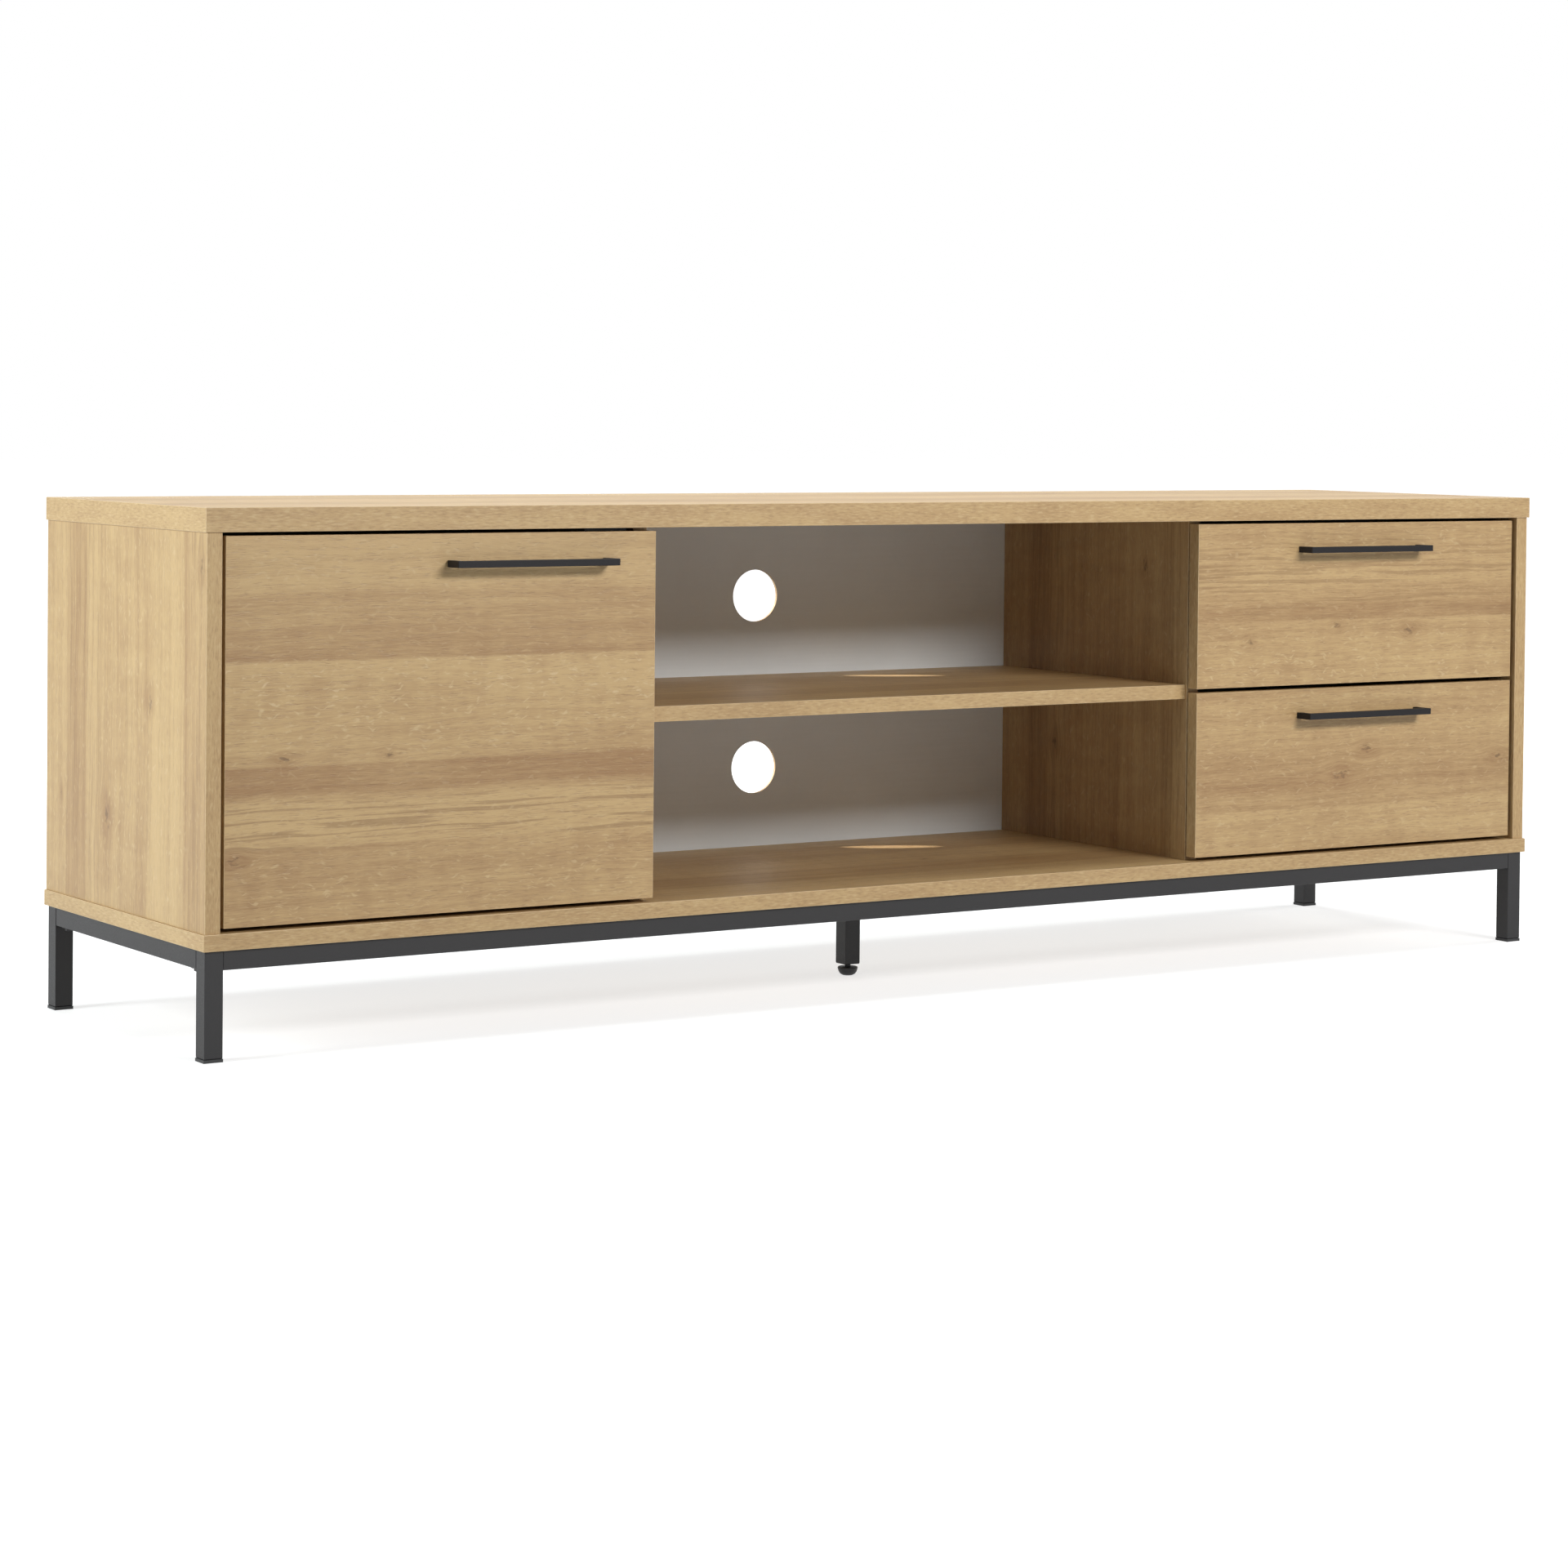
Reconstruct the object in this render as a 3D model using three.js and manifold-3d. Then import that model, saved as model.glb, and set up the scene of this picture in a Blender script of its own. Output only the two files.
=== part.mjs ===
// A low television cabinet. A laminated board carcass holds one hinged door on the left, two open
// bays with a shelf between them in the middle, and two drawers on the right. It stands on a welded
// frame of square steel tube with a levelling foot under the middle.
// Millimetres, +Z up, +X to the right as seen from the front, the front faces -Y.
import * as THREE from 'three';
import { mergeVertices } from 'three/addons/utils/BufferGeometryUtils.js';
import Module from 'manifold-3d';

// Overall size
const WIDTH = 1600;
const HEIGHT = 495;
const BOARD_DEPTH = 370; // top and bottom boards, front to back
const FRAME_HEIGHT = 100; // floor to the underside of the bottom board

// Boards
const TOP_THICKNESS = 22;
const BOARD = 15;
const BACK_THICKNESS = 3;
const SIDE_INSET = 2; // side panels stand this far in from the edge of the top and bottom boards
const PARTITION_INSET = 22; // partitions stand behind the door and the drawer fronts
const SHELF_INSET = 25;
const BACK_INSET = 348; // front face of the back panel, from the front edge of the top board
const OUTER_BAY = 468; // from the end of the top board to the far face of a partition
const SHELF_UNDERSIDE = 285;
const BACK_GROOVE = 6; // how deep the back panel sits in the boards round it
const GROOVE_GAP = 0.25;
const CABLE_HOLE_RADIUS = 28;
const CABLE_HOLE_HEIGHTS = [200, 385];
const CABLE_HOLE_SIDES = 48;

// Door and drawer fronts
const FRONT_RECESS = 5; // outer face of the fronts, from the front edge of the top board
const FRONT_SIDE_GAP = 4.5;
const FRONT_TOP_GAP = 3.5;
const FRONT_BOTTOM_GAP = 4;
const BETWEEN_DRAWERS = 4.5;

// Handles
const HANDLE_LENGTH = 172;
const HANDLE_BAR = 6.5;
const HANDLE_PROJECTION = 22;
const HANDLE_DROP = 28; // top edge of a front down to the middle of its handle
const DOOR_HANDLE_MARGIN = 52; // right end of the door handle to the right edge of the door

// Steel frame
const TUBE = 18;
const TUBE_WALL = 1.25;
const FRAME_INSET_X = 3;
const FRAME_INSET_Y = 4;
const CAP_THICKNESS = 3;
const CAP_PROUD = 0.5;
const SPIGOT = 15;
const SPIGOT_LENGTH = 14;
const SIDE_RAIL_GAP = 0.75; // the side rails are bolted in between the two welded end frames
const CENTRE_LEG_SETBACK = 163; // front edge of the top board to the middle of the centre leg
const CENTRE_LEG_CLEARANCE = 12; // floor to the lower end of the centre leg
const FOOT_RADIUS = 10.5;
const FOOT_HEIGHT = 9;
const STEM_RADIUS = 3;
const STEM_TOP = 42;

// Concealed hinges
const HINGE_FROM_END = 85; // top or bottom edge of the door to the middle of a hinge
const PIN_FROM_EDGE = 16; // left edge of the door to the pin
const PIN_FROM_FACE = 8; // outer face of the door to the pin
const PIN_RADIUS = 2;
const KNUCKLE_RADIUS = 3.3;
const KNUCKLE_BORE = 2.15;
const CUP_FROM_EDGE = 22.5;
const CUP_RADIUS = 17.5;
const CUP_WALL = 1;
const CUP_FLOOR = 0.8;
const CUP_DEPTH = 11.5;
const CUP_BORE_GAP = 0.3;
const ARM_THICKNESS = 3;
const ARM_WIDTH = 15;
const ARM_SWEEP = 20.5; // radius of the arm's bend about the pin, clear of the door's edge
const ARM_TAIL = 58;
const PLATE_THICKNESS = 5;

// Magnetic catch
const CATCH_SIZE = [46, 14, 14];
const STRIKE_SIZE = [38, 1.25, 12];

// Drawer boxes
const DRAWER_SIDE = 12;
const DRAWER_HEIGHT = 115;
const DRAWER_LENGTH = 300;
const DRAWER_RISE = 18; // lower edge of a drawer front to the lower edge of its box
const DRAWER_BOTTOM = 3;
const DRAWER_BOTTOM_RISE = 10;
const DRAWER_GROOVE = 5;

// Ball-bearing slides, between the carcass and the drawer box
const SLIDE_SPACE = 13;
const SLIDE_LENGTH = 300;
const SLIDE_FROM_FRONT = 22;
const SLIDE_RISE = 45; // lower edge of the drawer box to the middle of a slide
const SLIDE_SHEET = 1.25;
const OUTER_HEIGHT = 35;
const INNER_HEIGHT = 24;
const CAGE_HEIGHT = 28;
const CAGE_LENGTH = 76;
const CAGE_FROM_FRONT = 134;
const BALL_RADIUS = 2;
const BALL_COUNT = 4;

const ROUND_SIDES = 32; // flats round a cylinder, unless it is a small one
const SMALL_SIDES = 24;

// Places worked out from the driving dimensions
const HANDLE_OUT = HANDLE_PROJECTION - FRONT_RECESS;
const Y_FRONT = HANDLE_OUT - (BOARD_DEPTH + HANDLE_OUT) / 2;
const Y_BACK = Y_FRONT + BOARD_DEPTH;
const Y_FACE = Y_FRONT + FRONT_RECESS;
const Y_FRONT_BACK = Y_FACE + BOARD;
const Y_PANEL = Y_FRONT + BACK_INSET;
const X_END = WIDTH / 2;
const X_SIDE = X_END - SIDE_INSET - BOARD; // inner face of a side panel
const X_PARTITION = X_END - OUTER_BAY; // face of a partition towards the middle bay
const X_PARTITION_FAR = X_PARTITION + BOARD;
const Z_BOARD = FRAME_HEIGHT;
const Z_FLOOR = FRAME_HEIGHT + BOARD;
const Z_CEILING = HEIGHT - TOP_THICKNESS;
const FRONT_WIDTH = X_SIDE - FRONT_SIDE_GAP - X_PARTITION;
const FRONT_BOTTOM = Z_FLOOR + FRONT_BOTTOM_GAP;
const FRONT_TOP = Z_CEILING - FRONT_TOP_GAP;
const DRAWER_FRONT_HEIGHT = (FRONT_TOP - FRONT_BOTTOM - BETWEEN_DRAWERS) / 2;

const FINISHES = {
  oak: { color: 0xc9a878, roughness: 0.55, metalness: 0 },
  back: { color: 0xcdcacd, roughness: 0.6, metalness: 0 },
  liner: { color: 0xd8d2c6, roughness: 0.6, metalness: 0 },
  frame: { color: 0x3b3a3c, roughness: 0.5, metalness: 0.3 },
  handle: { color: 0x2f2e31, roughness: 0.45, metalness: 0.4 },
  nickel: { color: 0xb9b8b4, roughness: 0.3, metalness: 1 },
  zinc: { color: 0xa7a9ab, roughness: 0.35, metalness: 1 },
  plastic: { color: 0x1b1b1c, roughness: 0.6, metalness: 0 },
};

const wasm = await Module();
wasm.setup();

// A closed three.js geometry as a solid that can be joined and cut
function toSolid(geometry) {
  const bare = geometry.clone();
  bare.deleteAttribute('normal');
  bare.deleteAttribute('uv');
  const merged = mergeVertices(bare, 1e-4);
  const vertProperties = new Float32Array(merged.attributes.position.array);
  const triVerts = new Uint32Array(merged.index.array);
  return new wasm.Manifold(new wasm.Mesh({ numProp: 3, vertProperties, triVerts }));
}

function toGeometry(solid) {
  const mesh = solid.getMesh();
  const geometry = new THREE.BufferGeometry();
  geometry.setAttribute('position', new THREE.BufferAttribute(mesh.vertProperties, 3));
  geometry.setIndex(new THREE.BufferAttribute(mesh.triVerts, 1));
  geometry.computeVertexNormals();
  return geometry;
}

function join(...geometries) {
  const [first, ...others] = geometries.map(toSolid);
  return toGeometry(others.reduce((whole, piece) => whole.add(piece), first));
}

function cut(geometry, ...cutters) {
  return toGeometry(cutters.map(toSolid).reduce((left, tool) => left.subtract(tool), toSolid(geometry)));
}

// Box between two corners
function block(low, high) {
  const size = high.map((value, i) => value - low[i]);
  const geometry = new THREE.BoxGeometry(...size);
  return geometry.translate(...low.map((value, i) => value + size[i] / 2));
}

// Cylinder whose axis runs along one of the axes, from its middle
function rod(radius, length, axis, middle, sides = ROUND_SIDES) {
  const geometry = new THREE.CylinderGeometry(radius, radius, length, sides);
  if (axis === 'z') geometry.rotateX(Math.PI / 2);
  if (axis === 'x') geometry.rotateZ(Math.PI / 2);
  return geometry.translate(...middle);
}

function prism(outline, depth) {
  return new THREE.ExtrudeGeometry(outline, { depth, bevelEnabled: false, curveSegments: 16 });
}

function polygon(points) {
  return new THREE.Shape(points.map(([x, y]) => new THREE.Vector2(x, y)));
}

// Outline of a strip of even thickness that follows a line of points
function strip(points, thickness) {
  const half = thickness / 2;
  const left = [];
  const right = [];
  points.forEach((point, i) => {
    const before = points[Math.max(i - 1, 0)];
    const after = points[Math.min(i + 1, points.length - 1)];
    const along = after.clone().sub(before).normalize();
    const across = new THREE.Vector2(-along.y, along.x).multiplyScalar(half);
    left.push(point.clone().add(across));
    right.unshift(point.clone().sub(across));
  });
  return new THREE.Shape([...left, ...right]);
}

const cabinet = new THREE.Group();
cabinet.name = 'tv_cabinet';

// Adds one piece. The geometry is given in the cabinet's frame and is centred on the mesh's place.
function add(parent, name, finish, geometry) {
  geometry.computeBoundingBox();
  const middle = geometry.boundingBox.getCenter(new THREE.Vector3());
  middle.set(...middle.toArray().map((value) => Math.round(value * 4) / 4));
  geometry.translate(-middle.x, -middle.y, -middle.z);
  const mesh = new THREE.Mesh(geometry, new THREE.MeshStandardMaterial(FINISHES[finish]));
  mesh.name = name;
  mesh.position.copy(middle);
  parent.add(mesh);
}

function group(name) {
  const child = new THREE.Group();
  child.name = name;
  cabinet.add(child);
  return child;
}

// Boards of the carcass
function buildCarcass() {
  const carcass = group('carcass');
  const grooveFront = Y_PANEL - GROOVE_GAP;
  const grooveBack = Y_PANEL + BACK_THICKNESS + GROOVE_GAP;
  const reach = BACK_GROOVE + GROOVE_GAP;
  const groove = block(
    [-X_SIDE - reach, grooveFront, Z_FLOOR - reach],
    [X_SIDE + reach, grooveBack, Z_CEILING + reach],
  );
  const ceiling = block([-X_END, Y_FRONT, Z_CEILING], [X_END, Y_BACK, HEIGHT]);
  const floor = block([-X_END, Y_FRONT, Z_BOARD], [X_END, Y_BACK, Z_FLOOR]);
  add(carcass, 'top_panel', 'oak', cut(ceiling, groove));
  add(carcass, 'bottom_panel', 'oak', cut(floor, groove));
  for (const [side, sign] of [['left', -1], ['right', 1]]) {
    const faces = [sign * X_SIDE, sign * (X_SIDE + BOARD)].sort((a, b) => a - b);
    const panel = block([faces[0], Y_FRONT + SIDE_INSET, Z_FLOOR], [faces[1], Y_BACK, Z_CEILING]);
    add(carcass, `side_panel_${side}`, 'oak', cut(panel, groove));
    const walls = [sign * X_PARTITION, sign * X_PARTITION_FAR].sort((a, b) => a - b);
    const low = [walls[0], Y_FRONT + PARTITION_INSET, Z_FLOOR];
    add(carcass, `partition_${side}`, 'oak', block(low, [walls[1], Y_PANEL, Z_CEILING]));
  }
  const shelfLow = [-X_PARTITION, Y_FRONT + SHELF_INSET, SHELF_UNDERSIDE];
  const shelfHigh = [X_PARTITION, Y_PANEL, SHELF_UNDERSIDE + BOARD];
  add(carcass, 'centre_shelf', 'oak', block(shelfLow, shelfHigh));

  const panel = block(
    [-X_SIDE - BACK_GROOVE, Y_PANEL, Z_FLOOR - BACK_GROOVE],
    [X_SIDE + BACK_GROOVE, Y_PANEL + BACK_THICKNESS, Z_CEILING + BACK_GROOVE],
  );
  const holes = CABLE_HOLE_HEIGHTS.map(
    (z) => rod(CABLE_HOLE_RADIUS, 20, 'y', [0, Y_PANEL, z], CABLE_HOLE_SIDES),
  );
  add(carcass, 'back_panel', 'back', cut(panel, ...holes));
}

// A length of square tube between two corners, open at both ends of its long axis
function tube(low, high, axis) {
  const innerLow = low.map((value, i) => (i === axis ? value - 1 : value + TUBE_WALL));
  const innerHigh = high.map((value, i) => (i === axis ? value + 1 : value - TUBE_WALL));
  return cut(block(low, high), block(innerLow, innerHigh));
}

// Welded frame, its caps and its levelling foot
function buildFrame() {
  const frame = group('frame');
  const xOut = X_END - FRAME_INSET_X;
  const yOut = [Y_FRONT + FRAME_INSET_Y, Y_BACK - FRAME_INSET_Y];
  const zRail = FRAME_HEIGHT - TUBE;
  for (const [end, y] of [['front', yOut[0]], ['back', yOut[1] - TUBE]]) {
    const rail = tube([-xOut + TUBE, y, zRail], [xOut - TUBE, y + TUBE, FRAME_HEIGHT], 0);
    add(frame, `rail_${end}`, 'frame', rail);
    for (const [side, x] of [['left', -xOut], ['right', xOut - TUBE]]) {
      const leg = tube([x, y, CAP_THICKNESS], [x + TUBE, y + TUBE, FRAME_HEIGHT], 2);
      add(frame, `leg_${end}_${side}`, 'frame', leg);
      const pad = block(
        [x - CAP_PROUD, y - CAP_PROUD, 0],
        [x + TUBE + CAP_PROUD, y + TUBE + CAP_PROUD, CAP_THICKNESS],
      );
      const margin = (TUBE - SPIGOT) / 2;
      const spigot = block(
        [x + margin, y + margin, CAP_THICKNESS - 1],
        [x + TUBE - margin, y + TUBE - margin, CAP_THICKNESS + SPIGOT_LENGTH],
      );
      add(frame, `leg_cap_${end}_${side}`, 'plastic', join(pad, spigot));
    }
  }
  for (const [side, x] of [['left', -xOut], ['right', xOut - TUBE]]) {
    const railFront = yOut[0] + TUBE + SIDE_RAIL_GAP;
    const railBack = yOut[1] - TUBE - SIDE_RAIL_GAP;
    const rail = tube([x, railFront, zRail], [x + TUBE, railBack, FRAME_HEIGHT], 1);
    add(frame, `rail_${side}`, 'frame', rail);
  }
  const half = TUBE / 2;
  const yMiddle = Y_FRONT + CENTRE_LEG_SETBACK;
  const crossbar = tube([-half, yOut[0] + TUBE, zRail], [half, yOut[1] - TUBE, FRAME_HEIGHT], 1);
  add(frame, 'crossbar_centre', 'frame', crossbar);
  const legLow = [-half, yMiddle - half, CENTRE_LEG_CLEARANCE];
  add(frame, 'leg_centre', 'frame', tube(legLow, [half, yMiddle + half, zRail], 2));
  const plug = block(
    [-SPIGOT / 2, yMiddle - SPIGOT / 2, CENTRE_LEG_CLEARANCE],
    [SPIGOT / 2, yMiddle + SPIGOT / 2, CENTRE_LEG_CLEARANCE + SPIGOT_LENGTH],
  );
  const thread = rod(STEM_RADIUS + 0.3, 60, 'z', [0, yMiddle, CENTRE_LEG_CLEARANCE], SMALL_SIDES);
  add(frame, 'threaded_plug', 'plastic', cut(plug, thread));
  addFoot(yMiddle);
}

// Levelling foot: a dished disc moulded on a threaded stem
function addFoot(yMiddle) {
  const foot = group('levelling_foot');
  const profile = [
    [0, 0],
    [FOOT_RADIUS * 0.5, 0],
    [FOOT_RADIUS * 0.76, FOOT_HEIGHT * 0.17],
    [FOOT_RADIUS * 0.9, FOOT_HEIGHT * 0.42],
    [FOOT_RADIUS * 0.98, FOOT_HEIGHT * 0.74],
    [FOOT_RADIUS, FOOT_HEIGHT * 0.88],
    [FOOT_RADIUS * 0.95, FOOT_HEIGHT * 0.96],
    [STEM_RADIUS, FOOT_HEIGHT],
    [STEM_RADIUS, STEM_TOP - 1],
    [STEM_RADIUS - 1, STEM_TOP],
    [0, STEM_TOP],
  ].map(([radius, z]) => new THREE.Vector2(radius, z));
  const turned = new THREE.LatheGeometry(profile, ROUND_SIDES).rotateX(Math.PI / 2);
  add(foot, 'levelling_foot', 'plastic', turned.translate(0, yMiddle, 0));
}

// Square-section pull: a bar on two legs, bent from one piece
function handle(left, face, middleHeight) {
  const right = left + HANDLE_LENGTH;
  const outer = face - HANDLE_PROJECTION;
  const outline = polygon([
    [left, face],
    [left, outer],
    [right, outer],
    [right, face],
    [right - HANDLE_BAR, face],
    [right - HANDLE_BAR, outer + HANDLE_BAR],
    [left + HANDLE_BAR, outer + HANDLE_BAR],
    [left + HANDLE_BAR, face],
  ]);
  return prism(outline, HANDLE_BAR).translate(0, 0, middleHeight - HANDLE_BAR / 2);
}

// The hinge arm, in plan about the pin: out of the cup, round the door's edge, back to the side panel
function armOutline(tailX) {
  const at = (radius, degrees) => {
    const angle = THREE.MathUtils.degToRad(degrees);
    return new THREE.Vector2(radius * Math.cos(angle), radius * Math.sin(angle));
  };
  const [leave, bendStart, bendEnd] = [30, 45, 75];
  const corner = ARM_SWEEP / Math.cos(THREE.MathUtils.degToRad(bendStart - leave));
  const lastAngle = THREE.MathUtils.degToRad(bendEnd);
  // the straight stretch after the bend keeps the bend's direction as far as the tail
  const tailY = (ARM_SWEEP - tailX * Math.cos(lastAngle)) / Math.sin(lastAngle);
  const fillet = 6;
  const path = new THREE.Path();
  path.moveTo(...at(PIN_RADIUS + 0.5, leave).toArray());
  path.lineTo(...at(ARM_SWEEP * 0.72, leave).toArray());
  path.quadraticCurveTo(...at(corner, leave).toArray(), ...at(ARM_SWEEP, bendStart).toArray());
  path.absarc(0, 0, ARM_SWEEP, THREE.MathUtils.degToRad(bendStart), lastAngle, false);
  path.lineTo(tailX + fillet, tailY - fillet / Math.tan(lastAngle));
  path.quadraticCurveTo(tailX, tailY, tailX, tailY + fillet);
  path.lineTo(tailX, tailY + ARM_TAIL);
  return strip(path.getPoints(6), ARM_THICKNESS);
}

function buildHinge(level, z, doorGroup) {
  const carcass = cabinet.getObjectByName('carcass');
  const pinX = -X_SIDE + FRONT_SIDE_GAP + PIN_FROM_EDGE;
  const pinY = Y_FACE + PIN_FROM_FACE;
  const cupX = -X_SIDE + FRONT_SIDE_GAP + CUP_FROM_EDGE;
  const cupMiddle = Y_FRONT_BACK - CUP_DEPTH / 2;

  const shell = rod(CUP_RADIUS, CUP_DEPTH, 'y', [cupX, cupMiddle, z]);
  const rim = rod(CUP_RADIUS + 2, 1, 'y', [cupX, Y_FRONT_BACK + 0.75, z]);
  const flange = block([cupX - 14, Y_FRONT_BACK + 0.25, z - 32], [cupX + 14, Y_FRONT_BACK + 1.25, z + 32]);
  const collar = rod(CUP_RADIUS, 1, 'y', [cupX, Y_FRONT_BACK, z]);
  const hollow = rod(CUP_RADIUS - CUP_WALL, CUP_DEPTH + 4, 'y', [cupX, cupMiddle + 2 + CUP_FLOOR, z]);
  const pin = rod(PIN_RADIUS, 2 * CUP_RADIUS - 4, 'z', [pinX, pinY, z], SMALL_SIDES);
  add(doorGroup, `hinge_cup_${level}`, 'nickel', join(cut(join(shell, collar, rim, flange), hollow), pin));

  const plateFace = -X_SIDE + PLATE_THICKNESS;
  const tailX = plateFace + 0.25 + ARM_THICKNESS / 2 - pinX;
  const arm = prism(armOutline(tailX), ARM_WIDTH).translate(pinX, pinY, z - ARM_WIDTH / 2);
  const knuckle = rod(KNUCKLE_RADIUS, ARM_WIDTH, 'z', [pinX, pinY, z], SMALL_SIDES);
  const bore = rod(KNUCKLE_BORE, ARM_WIDTH + 10, 'z', [pinX, pinY, z], SMALL_SIDES);
  add(carcass, `hinge_arm_${level}`, 'nickel', cut(join(arm, knuckle), bore));

  const plateFront = pinY + ARM_SWEEP + 16;
  const spine = block([-X_SIDE, plateFront, z - 9], [plateFace, plateFront + 46, z + 9]);
  const wings = block([-X_SIDE, plateFront + 12, z - 24], [-X_SIDE + 2.5, plateFront + 28, z + 24]);
  add(carcass, `hinge_plate_${level}`, 'nickel', join(spine, wings));
}

// Door with its cup bores, handle, strike plate and hinges
function buildDoor() {
  const door = group('door');
  const left = -X_SIDE + FRONT_SIDE_GAP;
  const panel = block([left, Y_FACE, FRONT_BOTTOM], [-X_PARTITION, Y_FRONT_BACK, FRONT_TOP]);
  const levels = { lower: FRONT_BOTTOM + HINGE_FROM_END, upper: FRONT_TOP - HINGE_FROM_END };
  const depth = CUP_DEPTH + CUP_BORE_GAP;
  const bores = Object.values(levels).map((z) => {
    const middle = [left + CUP_FROM_EDGE, Y_FRONT_BACK - depth / 2 + 1, z];
    return rod(CUP_RADIUS + CUP_BORE_GAP, depth + 2, 'y', middle);
  });
  add(door, 'door_panel', 'oak', cut(panel, ...bores));
  const handleLeft = -X_PARTITION - DOOR_HANDLE_MARGIN - HANDLE_LENGTH;
  add(door, 'door_handle', 'handle', handle(handleLeft, Y_FACE, FRONT_TOP - HANDLE_DROP));
  for (const [level, z] of Object.entries(levels)) buildHinge(level, z, door);

  // strike plate on the door, magnet under the top board
  const catchLeft = -X_PARTITION_FAR - 8 - CATCH_SIZE[0];
  const catchFront = Y_FRONT_BACK + STRIKE_SIZE[1] + 0.25;
  const catchLow = [catchLeft, catchFront, Z_CEILING - CATCH_SIZE[2]];
  const magnet = block(catchLow, [catchLeft + CATCH_SIZE[0], catchFront + CATCH_SIZE[1], Z_CEILING]);
  add(cabinet.getObjectByName('carcass'), 'magnetic_catch', 'plastic', magnet);
  const strikeLow = [catchLeft + 4, Y_FRONT_BACK, Z_CEILING - CATCH_SIZE[2] - 3];
  const strikeHigh = strikeLow.map((value, i) => value + STRIKE_SIZE[i]);
  add(door, 'strike_plate', 'zinc', block(strikeLow, strikeHigh));
}

// U-shaped sheet section, extruded front to back. u runs from the carcass wall to the drawer side.
function channel(web, lip, height, sheet, wall, sign, length) {
  const half = height / 2;
  const inside = half - sheet;
  const webIn = web + Math.sign(lip - web) * sheet;
  const outline = polygon([
    [web, -half],
    [lip, -half],
    [lip, -inside],
    [webIn, -inside],
    [webIn, inside],
    [lip, inside],
    [lip, half],
    [web, half],
  ].map(([u, z]) => [wall + sign * u, z]));
  return prism(outline, length).rotateX(Math.PI / 2).translate(0, length, 0);
}

// Outer member on the carcass, inner member on the drawer, ball cage between them
function buildSlide(name, side, sign, z, drawer, cages) {
  const wall = sign > 0 ? X_PARTITION_FAR : X_SIDE;
  const front = Y_FRONT + SLIDE_FROM_FRONT;
  const outer = channel(0, 9, OUTER_HEIGHT, SLIDE_SHEET, wall, sign, SLIDE_LENGTH);
  const carcass = cabinet.getObjectByName('carcass');
  add(carcass, `${name}_slide_outer_${side}`, 'zinc', outer.translate(0, front, z));
  const inner = channel(SLIDE_SPACE, 4, INNER_HEIGHT, SLIDE_SHEET, wall, sign, SLIDE_LENGTH);
  add(drawer, `${name}_slide_inner_${side}`, 'zinc', inner.translate(0, front, z));

  const cageFront = Y_FRONT + CAGE_FROM_FRONT;
  const cage = channel(2, 8.5, CAGE_HEIGHT, 0.8, wall, sign, CAGE_LENGTH);
  const balls = [];
  for (let i = 0; i < BALL_COUNT; i += 1) {
    const y = cageFront + (CAGE_LENGTH * (i + 0.5)) / BALL_COUNT;
    const run = (INNER_HEIGHT + OUTER_HEIGHT - 2 * SLIDE_SHEET) / 4;
    for (const level of [-run, run]) {
      const ball = new THREE.IcosahedronGeometry(BALL_RADIUS, 1);
      balls.push(ball.translate(wall + sign * 6.5, y, z + level));
    }
  }
  add(cages, `${name}_ball_cage_${side}`, 'zinc', join(cage.translate(0, cageFront, z), ...balls));
}

function buildDrawer(name, bottom) {
  const drawer = group(`${name}_drawer`);
  const cages = group(`${name}_ball_cages`);
  const boxLow = bottom + DRAWER_RISE;
  const boxHigh = boxLow + DRAWER_HEIGHT;
  const boxBack = Y_FRONT_BACK + DRAWER_LENGTH;
  const outLeft = X_PARTITION_FAR + SLIDE_SPACE;
  const outRight = X_SIDE - SLIDE_SPACE;
  const inLeft = outLeft + DRAWER_SIDE;
  const inRight = outRight - DRAWER_SIDE;
  const zPanel = boxLow + DRAWER_BOTTOM_RISE;

  const panelLow = [inLeft - DRAWER_GROOVE, Y_FRONT_BACK - DRAWER_GROOVE, zPanel];
  const panelHigh = [
    inRight + DRAWER_GROOVE,
    boxBack - DRAWER_SIDE + DRAWER_GROOVE,
    zPanel + DRAWER_BOTTOM,
  ];
  const groove = block(
    panelLow.map((value) => value - GROOVE_GAP),
    panelHigh.map((value) => value + GROOVE_GAP),
  );
  const right = X_PARTITION + FRONT_WIDTH;
  const front = block([X_PARTITION, Y_FACE, bottom], [right, Y_FRONT_BACK, bottom + DRAWER_FRONT_HEIGHT]);
  add(drawer, `${name}_drawer_front`, 'oak', cut(front, groove));
  const sides = [['left', outLeft], ['right', inRight]];
  for (const [side, x] of sides) {
    const board = block([x, Y_FRONT_BACK, boxLow], [x + DRAWER_SIDE, boxBack, boxHigh]);
    add(drawer, `${name}_drawer_side_${side}`, 'liner', cut(board, groove));
  }
  const backBoard = block([inLeft, boxBack - DRAWER_SIDE, boxLow], [inRight, boxBack, boxHigh]);
  add(drawer, `${name}_drawer_back`, 'liner', cut(backBoard, groove));
  add(drawer, `${name}_drawer_bottom`, 'liner', block(panelLow, panelHigh));
  const handleLeft = X_PARTITION + (FRONT_WIDTH - HANDLE_LENGTH) / 2;
  const handleZ = bottom + DRAWER_FRONT_HEIGHT - HANDLE_DROP;
  add(drawer, `${name}_drawer_handle`, 'handle', handle(handleLeft, Y_FACE, handleZ));
  const zSlide = boxLow + SLIDE_RISE;
  buildSlide(name, 'left', 1, zSlide, drawer, cages);
  buildSlide(name, 'right', -1, zSlide, drawer, cages);
}

buildCarcass();
buildFrame();
buildDoor();
buildDrawer('lower', FRONT_BOTTOM);
buildDrawer('upper', FRONT_BOTTOM + DRAWER_FRONT_HEIGHT + BETWEEN_DRAWERS);

export default cabinet;
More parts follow.
